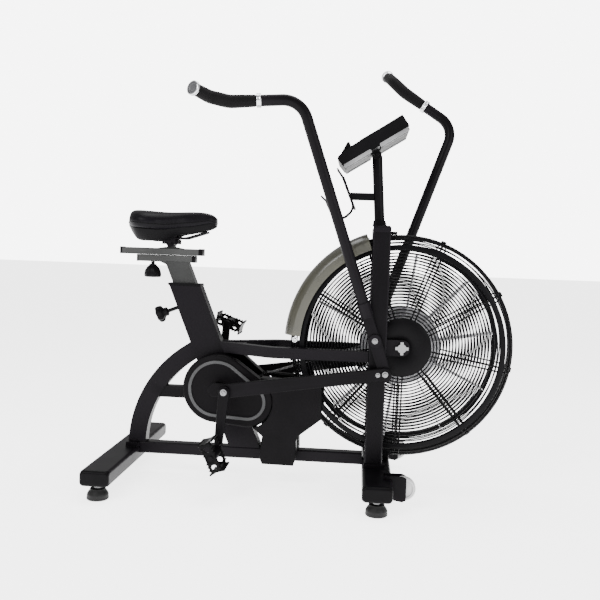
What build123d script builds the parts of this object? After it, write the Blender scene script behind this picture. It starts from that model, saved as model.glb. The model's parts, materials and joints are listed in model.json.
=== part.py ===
from build123d import *
import os
from math import sin, cos, radians, degrees, atan2, hypot

# Air bike: saddle, pedals and two swinging handlebars that drive a caged fan.
# +X points to the fan, +Y to the rider's left, +Z up, and Z = 0 is the floor.
# All lengths are millimetres.

# ---- driving dimensions ----
FAN_X = 274.0            # fan axle
FAN_Z = 440.0
CAGE_R = 336.0           # rim of the fan cage
FACE_R = 306.0           # flat face of the cage
FACE_Y = 78.0            # half depth of the cage
HUB_R = 88.0             # solid disc in the middle of each grille
FIRST_SPOKE = 29.5       # angle of the first spoke, degrees
SPOKES = 9
CRANK_X = -272.0         # crank axle
CRANK_Z = 297.0
CRANK_R = 170.0          # crank axle to pedal spindle
ARM_ANGLE = -83.4        # right pedal arm, degrees from +X
THROW = 33.0             # crank axle to connecting-rod pin
JACK_X = -182.0          # intermediate shaft
JACK_Z = 254.0
RING_BIG = 68.0          # crank sprocket
RING_SMALL = 22.0        # small sprockets
RING_MID = 50.0          # second-stage sprocket
PIVOT_X = 193.4          # pivot of the handlebar levers
PIVOT_Z = 463.0
LEAN = 19.2              # lever lean from vertical, degrees
LINK = 100.0             # lever pivot to connecting-rod bolt
UP_X0 = 177.0            # uprights
UP_X1 = 229.0
UP_Y0 = 86.0
UP_Y1 = 114.0
UP_TOP = 778.0
REAR_X = -568.0          # stabilizer bars
FRONT_X = 213.0
BAR_HALF = 42.0
BAR_Z0 = 44.0
BAR_Z1 = 88.0
BAR_Y = 312.0
CAP_Y = 325.0
FOOT_Y = 284.0
BEAM_Z0 = 66.0           # base beam
BEAM_Z1 = 102.0
TUBE_BOT = (-193.0, 102.0)   # seat tube axis
TUBE_TOP = (-394.0, 597.0)
TUBE_HALF = 45.0
TUBE_Y = 25.0
WALL = 3.0
FIT = 0.05               # radial running clearance
MAST_TOP = (181.0, 1012.0)
CON_TILT = 32.0          # console face, degrees from horizontal
BUMP = 0.4               # gap between bodies that move past each other

os.makedirs("parts", exist_ok=True)

TUBE_LEAN = degrees(atan2(TUBE_BOT[0] - TUBE_TOP[0], TUBE_TOP[1] - TUBE_BOT[1]))
TUBE_U = (-sin(radians(TUBE_LEAN)), cos(radians(TUBE_LEAN)))


def finish(builder, name):
    builder.part.label = name
    export_step(builder.part, "parts/" + name + ".step")


def side(y):
    """Plane at height y along Y whose local axes are X and Z."""
    return Plane.XZ.offset(-y)


def slab(outline, y0, y1):
    """Flat plate: a polygon in X, Z from y0 to y1."""
    with BuildPart() as p:
        with BuildSketch(side(y1)):
            with BuildLine():
                Polyline(*outline, close=True)
            make_face()
        extrude(amount=y1 - y0)
    return p.part


def disc(x, z, r, y0, y1, bore=0.0):
    """Round plate or shaft along Y."""
    with BuildPart() as p:
        with BuildSketch(side(y1)):
            with Locations((x, z)):
                Circle(r)
                if bore:
                    Circle(bore, mode=Mode.SUBTRACT)
        extrude(amount=y1 - y0)
    return p.part


def belt_outline(a, ra, b, rb):
    """Tangent points of the shape around two circles in X, Z."""
    dx = b[0] - a[0]
    dz = b[1] - a[1]
    span = hypot(dx, dz)
    base = degrees(atan2(dz, dx))
    swing = degrees(atan2((span ** 2 - (ra - rb) ** 2) ** 0.5, ra - rb))
    up = radians(base + swing)
    low = radians(base - swing)
    return [
        (a[0] + ra * cos(up), a[1] + ra * sin(up)),
        (b[0] + rb * cos(up), b[1] + rb * sin(up)),
        (b[0] + rb * cos(low), b[1] + rb * sin(low)),
        (a[0] + ra * cos(low), a[1] + ra * sin(low)),
    ]


def belt(a, ra, b, rb, y0, y1, inset=0.0, edge=0.0, edged=(0, -1)):
    """Plate around two circles; inset > 0 leaves only a ring that wide.

    edge rounds the rims of the faces named by edged: 0 is the lower Y, -1 the higher.
    """
    with BuildPart() as p:
        with BuildSketch(side(y1)):
            with BuildLine():
                Polyline(*belt_outline(a, ra, b, rb), close=True)
            make_face()
            with Locations(a):
                Circle(ra)
            with Locations(b):
                Circle(rb)
            if inset:
                with BuildSketch(side(y1), mode=Mode.SUBTRACT):
                    with BuildLine():
                        Polyline(*belt_outline(a, ra - inset, b, rb - inset), close=True)
                    make_face()
                    with Locations(a):
                        Circle(ra - inset)
                    with Locations(b):
                        Circle(rb - inset)
        extrude(amount=y1 - y0)
        if edge:
            levels = p.edges().group_by(Axis.Y)
            fillet([e for i in edged for e in levels[i]], radius=edge)
    return p.part


def block(x0, x1, y0, y1, z0, z1, edge=0.0):
    """Box between two corners with rounded edges."""
    with BuildPart() as p:
        with Locations(((x0 + x1) / 2, (y0 + y1) / 2, (z0 + z1) / 2)):
            Box(abs(x1 - x0), abs(y1 - y0), abs(z1 - z0))
        if edge:
            fillet(p.edges(), radius=edge)
    return p.part


def post(x, y, z0, z1, r, top=None):
    """Upright round peg, or a cone when a top radius is given."""
    with BuildPart() as p:
        with BuildSketch(Plane.XY.offset(z0)):
            with Locations((x, y)):
                Circle(r)
        if top is not None:
            with BuildSketch(Plane.XY.offset(z1)):
                with Locations((x, y)):
                    Circle(top)
            loft()
        else:
            extrude(amount=z1 - z0)
    return p.part


def bent_line(points, radii):
    """Straight runs joined by tangent arcs, drawn in the active BuildLine."""
    here = Vector(*points[0])
    for i in range(1, len(points) - 1):
        corner = Vector(*points[i])
        back = (Vector(*points[i - 1]) - corner).normalized()
        ahead = (Vector(*points[i + 1]) - corner).normalized()
        half = radians(back.get_angle(ahead)) / 2
        cut = radii[i - 1] * cos(half) / sin(half)
        start = corner + back * cut
        end = corner + ahead * cut
        bisector = (back + ahead).normalized()
        middle = corner + bisector * (radii[i - 1] / sin(half) - radii[i - 1])
        Line(here, start)
        ThreePointArc(start, middle, end)
        here = end
    Line(here, Vector(*points[-1]))


def round_tube(points, radii, r, bore=0.0):
    """Round tube or rod along a bent line."""
    with BuildPart() as p:
        with BuildLine() as path:
            bent_line(points, radii)
        with BuildSketch(Plane(origin=path.line @ 0, z_dir=path.line % 0)):
            Circle(r)
            if bore:
                Circle(bore, mode=Mode.SUBTRACT)
        sweep(path=path.line)
    return p.part


def fan_plane(angle):
    """Plane through the fan axle: local x is radial, local y is Y."""
    a = radians(angle)
    return Plane(origin=(FAN_X, 0, FAN_Z), x_dir=(cos(a), 0, sin(a)), z_dir=(-sin(a), 0, cos(a)))


def polar(r, angle):
    a = radians(angle)
    return (FAN_X + r * cos(a), FAN_Z + r * sin(a))


FAN_AXIS = Axis((FAN_X, 0, FAN_Z), (0, 1, 0))

# ---- base: two stabilizer bars and the long beam between them ----
with BuildPart() as base_beam:
    with BuildSketch(Plane.YZ.offset(REAR_X + BAR_HALF)):
        with Locations((0, (BEAM_Z0 + BEAM_Z1) / 2)):
            RectangleRounded(40, BEAM_Z1 - BEAM_Z0, 5)
            RectangleRounded(40 - 2 * WALL, BEAM_Z1 - BEAM_Z0 - 2 * WALL, 3, mode=Mode.SUBTRACT)
    extrude(amount=FRONT_X - REAR_X - 2 * BAR_HALF)
finish(base_beam, "base_beam")


def stabilizer_tube(x):
    with BuildPart() as p:
        with BuildSketch(Plane.XZ.offset(-BAR_Y)):
            with Locations((x, (BAR_Z0 + BAR_Z1) / 2)):
                RectangleRounded(2 * BAR_HALF, BAR_Z1 - BAR_Z0, 9)
                RectangleRounded(2 * BAR_HALF - 6, BAR_Z1 - BAR_Z0 - 6, 6, mode=Mode.SUBTRACT)
        extrude(amount=2 * BAR_Y)
        for y in (-FOOT_Y, FOOT_Y):
            with Locations((x, y, BAR_Z0 + 1)):
                Cylinder(6 + FIT, 12, mode=Mode.SUBTRACT)
    return p.part


with BuildPart() as rear_stabilizer:
    add(stabilizer_tube(REAR_X))
    add(block(REAR_X + 2, REAR_X + BAR_HALF, -34, 34, BAR_Z1 - 0.5, BEAM_Z1))
finish(rear_stabilizer, "rear_stabilizer")

BAR_FRONT = FRONT_X + BAR_HALF
WHEEL_R = 33.0
WHEEL_X = BAR_FRONT + WHEEL_R + BUMP
WHEEL_Z = 62.0
with BuildPart() as front_stabilizer:
    add(stabilizer_tube(FRONT_X))
    for s in (-1, 1):
        for y in (209.5, 239.5):
            add(slab([(BAR_FRONT - 0.5, 48), (BAR_FRONT + 5, 30), (WHEEL_X - 4, 26), (WHEEL_X + 6, 31),
                      (WHEEL_X + 6, 93), (WHEEL_X - 4, 98), (BAR_FRONT - 24, 98),
                      (BAR_FRONT - 24, BAR_Z1 - 0.5), (BAR_FRONT - 0.5, BAR_Z1 - 0.5)],
                     s * y - 2, s * y + 2))
        add(disc(WHEEL_X, WHEEL_Z, 5, s * 224.5 - 17, s * 224.5 + 17))
        add(block(UP_X0 - 3, UP_X1 + 8, s * 100 - 22, s * 100 + 22, BAR_Z1 - 0.5, BAR_Z1 + 8))
finish(front_stabilizer, "front_stabilizer")

with BuildPart() as stabilizer_caps:
    for x in (REAR_X, FRONT_X):
        for s in (-1, 1):
            with BuildSketch(Plane.XZ.offset(-s * BAR_Y)):
                with Locations((x, (BAR_Z0 + BAR_Z1) / 2)):
                    RectangleRounded(2 * BAR_HALF, BAR_Z1 - BAR_Z0, 12)
            extrude(amount=-s * (CAP_Y - BAR_Y))
    outer = stabilizer_caps.faces().filter_by(Axis.Y).sort_by(Axis.Y)
    fillet(outer[:2].edges() + outer[-2:].edges(), radius=8)
finish(stabilizer_caps, "stabilizer_caps")

for x, where in ((REAR_X, "rear"), (FRONT_X, "front")):
    for y, hand in ((-FOOT_Y, "right"), (FOOT_Y, "left")):
        with BuildPart() as foot:
            add(post(x, y, 0, 13, 31))
            add(post(x, y, 13, 32, 29, 22))
            add(post(x, y, 30, BAR_Z0 + 16, 6))
        finish(foot, hand + "_" + where + "_foot")

for y, hand in ((-224.5, "right"), (224.5, "left")):
    with BuildPart() as wheel:
        add(disc(WHEEL_X, WHEEL_Z, WHEEL_R, y - 12, y + 12, 5 + FIT))
        fillet(wheel.edges().filter_by(GeomType.CIRCLE).sort_by(SortBy.RADIUS)[-2:], radius=4)
    finish(wheel, hand + "_wheel")

# ---- seat tube, rear arc and rails ----


def tube_x(z):
    """X of the seat tube axis at height z."""
    part_way = (z - TUBE_BOT[1]) / (TUBE_TOP[1] - TUBE_BOT[1])
    return TUBE_BOT[0] + part_way * (TUBE_TOP[0] - TUBE_BOT[0])


HALF_X = TUBE_HALF / cos(radians(TUBE_LEAN))


def lean_box(z0, z1, half, y):
    """Leaning box along the seat tube with level ends."""
    h = half / cos(radians(TUBE_LEAN))
    return slab([(tube_x(z0) - h, z0), (tube_x(z0) + h, z0),
                 (tube_x(z1) + h, z1), (tube_x(z1) - h, z1)], -y, y)


with BuildPart() as seat_tube:
    add(lean_box(BEAM_Z1, TUBE_TOP[1], TUBE_HALF, TUBE_Y))
    add(lean_box(BEAM_Z1 - 5, TUBE_TOP[1] + 5, TUBE_HALF - WALL, TUBE_Y - WALL), mode=Mode.SUBTRACT)
    add(disc(CRANK_X, CRANK_Z, 26, -40, 40), mode=Mode.SUBTRACT)
    with Locations(Plane(origin=(tube_x(529) - HALF_X, 0, 529), z_dir=(-TUBE_U[1], 0, TUBE_U[0]))):
        Cylinder(6 + 2 * FIT, 30, mode=Mode.SUBTRACT)
finish(seat_tube, "seat_tube")

with BuildPart() as bearing_shells:
    add(disc(CRANK_X, CRANK_Z, 26, -33, 33, 12 + FIT))
    add(slab([(tube_x(276) + HALF_X, 276), (JACK_X, 276), (JACK_X, 232),
              (tube_x(232) + HALF_X, 232)], -15, 15))
    add(disc(JACK_X, JACK_Z, 22, -33, 33))
    add(disc(JACK_X, JACK_Z, 8 + FIT, -40, 40), mode=Mode.SUBTRACT)
finish(bearing_shells, "bearing_shells")

with BuildPart() as rear_arc_tube:
    with BuildLine() as arc:
        ThreePointArc((-534, 0, BEAM_Z1), (-494, 0, 257), (-380, 0, 385))
        Line(arc.line @ 1, (arc.line @ 1) + (arc.line % 1) * 60)
    with BuildSketch(Plane(origin=arc.line @ 0, x_dir=(0, 1, 0), z_dir=arc.line % 0)):
        Rectangle(40, 54)
        Rectangle(40 - 2 * WALL, 54 - 2 * WALL, mode=Mode.SUBTRACT)
    sweep(path=arc.line)
    add(lean_box(BEAM_Z1, TUBE_TOP[1], TUBE_HALF, TUBE_Y + 10), mode=Mode.SUBTRACT)
    add(block(-700, -400, -40, 40, BEAM_Z1 - 60, BEAM_Z1), mode=Mode.SUBTRACT)
    add(block(-200, -100, -60, 60, 300, 560), mode=Mode.SUBTRACT)

with BuildPart() as rear_strut:
    add(slab([(-470, 246), (tube_x(246) - HALF_X, 246), (tube_x(282) - HALF_X, 282), (-455, 282)],
             -17, 17))
    with BuildLine() as cut_arc:
        ThreePointArc((-534, 0, BEAM_Z1), (-494, 0, 257), (-380, 0, 385))
    with BuildSketch(Plane(origin=cut_arc.line @ 0, x_dir=(0, 1, 0), z_dir=cut_arc.line % 0)):
        Rectangle(44, 54)
    sweep(path=cut_arc.line, mode=Mode.SUBTRACT)

with BuildPart() as rear_braces:
    add(rear_arc_tube.part)
    add(rear_strut.part)
finish(rear_braces, "rear_braces")

# Each rail leaves the seat tube, swings outward and runs beside the cage to the upright.
with BuildPart() as side_rails:
    for s in (-1, 1):
        with BuildLine() as rail:
            bent_line([(tube_x(412) + 20, s * 26, 412), (-250, s * 26, 412), (-110, s * 100, 412),
                       (UP_X0, s * 100, 412)], [60, 60])
        with BuildSketch(Plane(origin=rail.line @ 0, x_dir=(0, 1, 0), z_dir=rail.line % 0)):
            Rectangle(28, 32)
            Rectangle(28 - 2 * WALL, 32 - 2 * WALL, mode=Mode.SUBTRACT)
        sweep(path=rail.line)
    add(lean_box(300, 500, TUBE_HALF, 60), mode=Mode.SUBTRACT)
    with Locations((-215, 0, 412)):
        Box(30, 22, 26)
finish(side_rails, "side_rails")

# ---- uprights, bridge and mast ----
with BuildPart() as uprights:
    for s in (-1, 1):
        with BuildSketch(Plane.XY.offset(BAR_Z1 + 8)):
            with Locations(((UP_X0 + UP_X1) / 2, s * (UP_Y0 + UP_Y1) / 2)):
                RectangleRounded(UP_X1 - UP_X0, UP_Y1 - UP_Y0, 5)
                RectangleRounded(UP_X1 - UP_X0 - 6, UP_Y1 - UP_Y0 - 6, 3, mode=Mode.SUBTRACT)
        extrude(amount=UP_TOP - BAR_Z1 - 8)
        add(belt((UP_X1, FAN_Z), 24, (FAN_X, FAN_Z), 24, s * 92 - 4, s * 92 + 4))
        add(disc(FAN_X, FAN_Z, 10, s * 92 - 9, s * 92 + 9), mode=Mode.SUBTRACT)
        add(disc(PIVOT_X, PIVOT_Z, 10, s * 128 - 15, s * 128 + 15))
        add(disc(PIVOT_X, PIVOT_Z, 19, s * 142.5 - 3.5, s * 142.5 + 3.5))
finish(uprights, "uprights")

with BuildPart() as top_bridge:
    add(block(UP_X0, UP_X1, -UP_Y1, UP_Y1, UP_TOP, UP_TOP + 20))
    fillet(top_bridge.edges().group_by(Axis.Z)[-1], radius=8)
finish(top_bridge, "top_bridge")

MAST_FOOT = (197.0, UP_TOP + 20)
with BuildPart() as mast:
    with BuildLine() as mast_line:
        Line((MAST_FOOT[0], 0, MAST_FOOT[1]), (MAST_TOP[0], 0, MAST_TOP[1]))
    with BuildSketch(Plane.XY.offset(MAST_FOOT[1])):
        with Locations(MAST_FOOT[:1] + (0,)):
            Circle(15.5)
            Circle(12.5, mode=Mode.SUBTRACT)
    sweep(path=mast_line.line)
    add(disc(MAST_TOP[0], MAST_TOP[1], 13, -21, 21))
    add(disc(MAST_TOP[0], MAST_TOP[1], 5, -36, 36))
finish(mast, "mast")

with BuildPart() as tube_collars:
    with BuildSketch(Plane.XY.offset(UP_TOP + 20)):
        with Locations(MAST_FOOT[:1] + (0,)):
            RectangleRounded(44, 44, 8)
    with BuildSketch(Plane.XY.offset(UP_TOP + 38)):
        with Locations((MAST_FOOT[0] - 1.3, 0)):
            RectangleRounded(36, 36, 8)
    loft()
    add(mast.part, mode=Mode.SUBTRACT)
    add(lean_box(TUBE_TOP[1], TUBE_TOP[1] + 7, TUBE_HALF + 2, TUBE_Y + 2))
    add(lean_box(TUBE_TOP[1] - 40, TUBE_TOP[1] + 3, TUBE_HALF - WALL, TUBE_Y - WALL))
    add(lean_box(TUBE_TOP[1] - 60, TUBE_TOP[1] + 20, 33 + BUMP, 18 + BUMP), mode=Mode.SUBTRACT)
finish(tube_collars, "tube_collars")

# ---- fan: fixed axle, turning hub with its sprocket and blades ----
with BuildPart() as fan_axle:
    add(disc(FAN_X, FAN_Z, 10, -106, 106))
finish(fan_axle, "fan_axle")

with BuildPart() as axle_nuts:
    for s in (-1, 1):
        with BuildSketch(side(s * 96 if s < 0 else 106)):
            with Locations((FAN_X, FAN_Z)):
                with PolarLocations(9, 4):
                    Rectangle(20, 9)
                Circle(13)
                Circle(10, mode=Mode.SUBTRACT)
        extrude(amount=10)
finish(axle_nuts, "axle_nuts")

with BuildPart() as fan_hub:
    add(disc(FAN_X, FAN_Z, 30, -36, 36))
    add(disc(FAN_X, FAN_Z, 16, 36, 54))
    add(disc(FAN_X, FAN_Z, RING_SMALL, 46, 50))
    add(disc(FAN_X, FAN_Z, 10 + FIT, -60, 60), mode=Mode.SUBTRACT)
finish(fan_hub, "fan_hub")

BLADES = 10
with BuildPart() as fan_blades:
    add(disc(FAN_X, FAN_Z, 120, -2, 2, 30))
    for k in range(BLADES):
        with BuildSketch(fan_plane(10 + k * 360 / BLADES)):
            with Locations((187, 0)):
                Rectangle(186, 68)
        extrude(amount=1.5, both=True)
finish(fan_blades, "fan_blades")

# ---- cage: two flat grilles, the rounded shoulder hoops and their clips ----
GRILLE_RINGS = 9
GRILLE_EDGE = 287.0      # inside of the wide outer band
for s, name in ((-1, "grille_right"), (1, "grille_left")):
    with BuildPart() as grille:
        add(disc(FAN_X, FAN_Z, FACE_R, s * (FACE_Y - 2) - 2, s * (FACE_Y - 2) + 2, 11))
        add(disc(FAN_X, FAN_Z, HUB_R, s * (FACE_Y + 1) - 2, s * (FACE_Y + 1) + 2, 11))
        with BuildSketch(side(s * (FACE_Y - 2) + 5)):
            pitch = (GRILLE_EDGE - HUB_R) / GRILLE_RINGS
            for i in range(GRILLE_RINGS):
                r0 = HUB_R + i * pitch + (1.5 if i else 0.5)
                r1 = HUB_R + (i + 1) * pitch - (1.5 if i < GRILLE_RINGS - 1 else 0)
                for k in range(SPOKES):
                    a = FIRST_SPOKE + k * 360 / SPOKES
                    b = a + 360 / SPOKES
                    da = degrees(8 / r0)
                    db = degrees(8 / r1)
                    with BuildLine():
                        low = ThreePointArc(polar(r0, a + da), polar(r0, (a + b) / 2), polar(r0, b - da))
                        high = ThreePointArc(polar(r1, a + db), polar(r1, (a + b) / 2), polar(r1, b - db))
                        Line(low @ 0, high @ 0)
                        Line(low @ 1, high @ 1)
                    make_face()
        extrude(amount=10, mode=Mode.SUBTRACT)
    finish(grille, name)

# Half width, measured from the middle plane, of each hoop on the shoulder.
HOOPS = [(313.0, 71.0), (323.0, 60.0), (331.0, 38.0)]
with BuildPart() as cage_hoops:
    with BuildSketch(fan_plane(0)):
        with Locations(((CAGE_R - 5), 0)):
            Rectangle(10, 14)
        for r, y in HOOPS:
            for s in (-1, 1):
                with Locations((r, s * y)):
                    Rectangle(5, 5)
    revolve(axis=FAN_AXIS)
    for k in range(SPOKES):
        with BuildSketch(fan_plane(FIRST_SPOKE + k * 360 / SPOKES - 1)):
            with BuildLine():
                Polyline((306, 77.5), (314, 73), (325, 62), (333, 40), (335, 7), (335, -7), (333, -40),
                         (325, -62), (314, -73), (306, -77.5), (306, -74), (312, -70), (321, -59),
                         (329, -38), (330, 0), (329, 38), (321, 59), (312, 70), (306, 74), close=True)
            make_face()
        revolve(axis=FAN_AXIS, revolution_arc=-2)
finish(cage_hoops, "cage_hoops")

with BuildPart() as guard_clips:
    for k in range(SPOKES):
        angle = FIRST_SPOKE + k * 360 / SPOKES
        with BuildSketch(fan_plane(angle - 1.2)):
            with Locations((CAGE_R + 2, 0)):
                Rectangle(5, 22)
                Rectangle(14, 14, mode=Mode.SUBTRACT)
            with Locations((CAGE_R + 2, 0)):
                Rectangle(4, 24)
        revolve(axis=FAN_AXIS, revolution_arc=-2.4)
    add(block(FRONT_X - 14, FRONT_X + 38, -18, 18, BAR_Z1, FAN_Z - CAGE_R + 16))
    add(block(UP_X1 - 6, UP_X1 + 22, -12, 12, FAN_Z + CAGE_R - 20, UP_TOP + 6))
    add(disc(FAN_X, FAN_Z, CAGE_R, -40, 40), mode=Mode.SUBTRACT)
    add(top_bridge.part, mode=Mode.SUBTRACT)
finish(guard_clips, "guard_clips")

SHROUD_R = 353.0
with BuildPart() as wind_shroud:
    with BuildSketch(fan_plane(176)):
        with BuildLine():
            Line((302, -84), (326, -84))
            ThreePointArc((326, -84), (346, -66), (352, -40))
            ThreePointArc((352, -40), (SHROUD_R + 1, 0), (352, 40))
            ThreePointArc((352, 40), (346, 66), (326, 84))
            Line((326, 84), (302, 84))
            Line((302, 84), (302, 81.2))
            Line((302, 81.2), (325, 81.2))
            ThreePointArc((325, 81.2), (343.5, 64.5), (348.6, 39.5))
            ThreePointArc((348.6, 39.5), (SHROUD_R - 2.5, 0), (348.6, -39.5))
            ThreePointArc((348.6, -39.5), (343.5, -64.5), (325, -81.2))
            Line((325, -81.2), (302, -81.2))
            Line((302, -81.2), (302, -84))
        make_face()
    revolve(axis=FAN_AXIS, revolution_arc=67)
finish(wind_shroud, "wind_shroud")

# ---- drive: crank, two chains, intermediate shaft ----
BB = (CRANK_X, CRANK_Z)
JACK = (JACK_X, JACK_Z)
FAN = (FAN_X, FAN_Z)
CHAIN_Y = 48.0
with BuildPart() as drive_chains:
    add(belt(BB, RING_BIG + 6, JACK, RING_SMALL + 6, -CHAIN_Y - 4, -CHAIN_Y + 4, 5.5))
    add(belt(JACK, RING_MID + 6, FAN, RING_SMALL + 6, CHAIN_Y - 4, CHAIN_Y + 4, 5.5))
finish(drive_chains, "drive_chains")

with BuildPart() as jackshaft:
    add(disc(*JACK, 8, -54, 56))
    add(disc(*JACK, RING_SMALL, -CHAIN_Y - 2, -CHAIN_Y + 2))
    add(disc(*JACK, RING_MID, CHAIN_Y - 2, CHAIN_Y + 2))
finish(jackshaft, "jackshaft")

with BuildPart() as crank_axle:
    add(disc(*BB, 12, -122, 122))
    add(disc(*BB, RING_BIG, -CHAIN_Y - 2, -CHAIN_Y + 2))
    with BuildSketch(side(-CHAIN_Y + 3)):
        with Locations(BB):
            with PolarLocations(42, 5):
                Circle(14)
    extrude(amount=6, mode=Mode.SUBTRACT)
finish(crank_axle, "crank_axle")


def arm_end(s, r, angle):
    """Point at radius r and angle on the crank; the left side is turned half a turn."""
    a = radians(angle + (180 if s > 0 else 0))
    return (CRANK_X + r * cos(a), CRANK_Z + r * sin(a))


with BuildPart() as crank_webs:
    for s in (-1, 1):
        pin = arm_end(s, THROW, 0)
        add(belt(BB, 21, pin, 17, s * 128 - 6, s * 128 + 6, edge=2))
        add(disc(*pin, 10, s * 145 - 11, s * 145 + 11))
finish(crank_webs, "crank_webs")

with BuildPart() as pedal_arms:
    for s in (-1, 1):
        pin = arm_end(s, THROW, 0)
        end = arm_end(s, CRANK_R, ARM_ANGLE)
        add(belt(pin, 16, end, 12, s * 162 - 6, s * 162 + 6, edge=3))
        add(disc(*pin, 12, s * 170 - 3, s * 170 + 3))
        add(disc(*end, 7, s * 221 - 54, s * 221 + 54))
finish(pedal_arms, "pedal_arms")

PEDAL_Y = 227.0
for s, name, tilt in ((-1, "right_pedal", -65.0), (1, "left_pedal", -20.0)):
    end = arm_end(s, CRANK_R, ARM_ANGLE)
    spot = Plane(origin=(end[0], s * PEDAL_Y, end[1]), x_dir=(cos(radians(tilt)), 0, sin(radians(tilt))),
                 z_dir=(0, -1, 0))
    with BuildPart() as pedal:
        with BuildSketch(spot):
            Circle(14)
            Circle(7 + FIT, mode=Mode.SUBTRACT)
        extrude(amount=45, both=True)
        for y in (-45, 45):
            with BuildSketch(spot.offset(y)):
                with BuildLine():
                    Polyline((-42, -12), (-30, -15), (30, -15), (42, -12), (42, 12), (30, 15), (-30, 15),
                             (-42, 12), close=True)
                make_face()
                for x in (-27, 27):
                    with Locations((x, 0)):
                        Circle(8, mode=Mode.SUBTRACT)
                Circle(13, mode=Mode.SUBTRACT)
            extrude(amount=2.5, both=True)
        for x in (-1, 1):
            with BuildSketch(spot):
                with BuildLine():
                    Polyline((x * 39, -11), (x * 44, -22), (x * 46, -21), (x * 43, 0), (x * 46, 21),
                             (x * 44, 22), (x * 39, 11), close=True)
                make_face()
            extrude(amount=43, both=True)
    finish(pedal, name)

# ---- connecting rods: from the crank pin to the foot of each lever ----


def lever_point(s, w, u):
    """Point w forward of and u above the pivot in the lever's own leaning frame."""
    a = radians(LEAN * s)
    return (PIVOT_X + w * cos(a) + u * sin(a), PIVOT_Z - w * sin(a) + u * cos(a))


ROD_Y0 = 140.0
ROD_Y1 = 150.5
for s, name in ((-1, "right_rod"), (1, "left_rod")):
    pin = arm_end(s, THROW, 0)
    front = lever_point(s, 0, -LINK)
    mid = s * (ROD_Y0 + ROD_Y1) / 2
    half = (ROD_Y1 - ROD_Y0) / 2
    with BuildPart() as rod:
        add(belt(pin, 21, front, 18, mid - half, mid + half, edge=2.5))
        add(disc(*pin, 10 + FIT, mid - 10, mid + 10), mode=Mode.SUBTRACT)
        add(disc(*front, 9, s * 153 - 2.6, s * 153 + 2.6))
    finish(rod, name)

# ---- handlebar levers ----
LEVER_IN = 124.0
LEVER_OUT = 138.0
SOCKET_Y = 140.0
BEND_U = 712.0
for s, hand in ((-1, "right"), (1, "left")):
    low = lever_point(s, 0, -LINK - 8)
    mid = s * (LEVER_IN + LEVER_OUT) / 2

    def at(w, v, u):
        x, z = lever_point(s, w, u)
        return (x, s * v, z)

    socket_dir = Vector(*at(2, 203, BEND_U)) - Vector(*at(0, SOCKET_Y, 72))
    with BuildPart() as lever:
        add(belt((PIVOT_X, PIVOT_Z), 20, low, 17, mid - 7, mid + 7, edge=2.5))
        add(belt((PIVOT_X, PIVOT_Z), 16, lever_point(s, 0, 84), 16, mid - 7, mid + 7, edge=2.5))
        with BuildSketch(Plane(origin=at(0, SOCKET_Y, 72), z_dir=socket_dir)):
            Circle(19)
        extrude(amount=44)
        add(disc(PIVOT_X, PIVOT_Z, 10 + FIT, s * 130 - 20, s * 130 + 20), mode=Mode.SUBTRACT)
        add(disc(PIVOT_X, PIVOT_Z, 20, s * 143 - 4.8, s * 143 + 4.8), mode=Mode.SUBTRACT)
        add(disc(*lever_point(s, 0, -LINK), 9, s * 122 - 3, s * 122 + 3))
    finish(lever, hand + "_lever")

    start = Vector(*at(0, SOCKET_Y, 72)) + socket_dir.normalized() * 44
    bend = at(2, 203, BEND_U)
    elbow = at(-190, 222, 764)
    tip = at(-236, 246, 788)
    last = at(-262, 298, 808)
    ring = Vector(*bend) + (Vector(*elbow) - Vector(*bend)) * 0.56
    with BuildPart() as lever_tube:
        with BuildLine() as path:
            bent_line([tuple(start), bend, tuple(ring)], [70])
        with BuildSketch(Plane(origin=path.line @ 0, z_dir=path.line % 0)):
            Circle(16)
            Circle(14, mode=Mode.SUBTRACT)
        sweep(path=path.line)
    finish(lever_tube, hand + "_lever_tube")

    along = (Vector(*elbow) - Vector(*bend)).normalized()
    grip_start = ring + along * 12
    with BuildPart() as grip:
        with BuildLine() as path:
            bent_line([tuple(grip_start), elbow, tip, last], [60, 28])
        with BuildSketch(Plane(origin=path.line @ 0, z_dir=path.line % 0)):
            Circle(19)
        sweep(path=path.line)
        stop = path.line @ 1
        out = path.line % 1
    finish(grip, hand + "_grip")

    with BuildPart() as trim:
        with BuildSketch(Plane(origin=ring, z_dir=along)):
            Circle(20.5)
        extrude(amount=12)
        with BuildSketch(Plane(origin=stop, z_dir=out)):
            Circle(20.5)
        extrude(amount=9)
    finish(trim, hand + "_grip_rings")

# ---- covers ----
GUARD_BIG = 104.0
GUARD_SMALL = 78.0
GUARD_AT = (CRANK_X - 5, CRANK_Z - 7)
with BuildPart() as chain_guard:
    add(belt(GUARD_AT, GUARD_BIG, JACK, GUARD_SMALL, -76, -34, edge=6, edged=(0,)))
    add(belt(GUARD_AT, GUARD_BIG - 3, JACK, GUARD_SMALL - 3, -73, -33), mode=Mode.SUBTRACT)
    add(disc(*BB, 15, -80, -70), mode=Mode.SUBTRACT)
    add(side_rails.part, mode=Mode.SUBTRACT)
finish(chain_guard, "chain_guard")

with BuildPart() as guard_trim:
    add(belt(GUARD_AT, GUARD_BIG - 18, JACK, GUARD_SMALL - 22, -80, -76, 9))
finish(guard_trim, "guard_trim")

COVER_LINE = [(-160, 262), (-142, 330), (43, 318), (46, 214), (-24, 158), (-30, 143), (-28, 92),
              (-36, 67), (-131, 68), (-140, 88), (-133, 153), (-171, 184)]


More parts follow.
